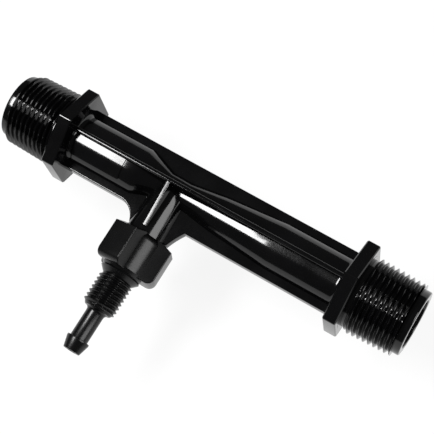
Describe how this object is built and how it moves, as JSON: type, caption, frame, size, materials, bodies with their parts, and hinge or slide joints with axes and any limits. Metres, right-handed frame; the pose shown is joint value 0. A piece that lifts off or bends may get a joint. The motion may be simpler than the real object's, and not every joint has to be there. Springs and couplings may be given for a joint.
{
  "type": "venturi ozone injector",
  "caption": "Black moulded venturi injector with tapered pipe threads, hexes and long ribs, and a screwed-on check-valve nut with hose barb.",
  "frame": {"origin": "on the flow axis at the inlet thread's gauge plane, 11 mm in from the inlet's end face", "axes": "+X downstream along the flow axis, -Y along the suction axis towards the hose barb, +Z towards the front rib, square to both"},
  "size_m": [0.1538, 0.0776, 0.0336],
  "materials": {
    "body_plastic": "satin black moulded plastic",
    "nut_plastic": "satin black moulded plastic",
    "seal_rubber": "soft matt black seal",
    "seat_plastic": "plain off-white",
    "ball_plastic": "smooth off-white",
    "spring_steel": "drawn wire"
  },
  "bodies": {
    "body": {"injector_body": "body_plastic", "valve_seat": "seat_plastic", "check_spring": "spring_steel"},
    "ball": {"check_ball": "ball_plastic"},
    "ring": {"cap_o_ring": "seal_rubber"},
    "nut": {"suction_cap": "nut_plastic"}
  },
  "joints": [
    {"name": "ball_lift", "type": "slide", "parent": "body", "child": "ball", "axis": [0, 1, 0], "range_m": [0, 0.003], "stiffness_N_per_m": 20, "springref_m": -0.001, "deforming": ["check_spring"]},
    {"name": "nut_travel", "type": "slide", "parent": "body", "child": "ring", "axis": [0, -1, 0], "range_m": [0, 0.006]},
    {"name": "nut_turn", "type": "hinge", "parent": "ring", "child": "nut", "pos_m": [0.052, -0.0275, 0], "axis": [0, -1, 0], "range_deg": [0, 1080]}
  ],
  "couplings": [
    {"joint": "nut_travel", "follows": "nut_turn", "m_per_rad": 0.00031831}
  ]
}
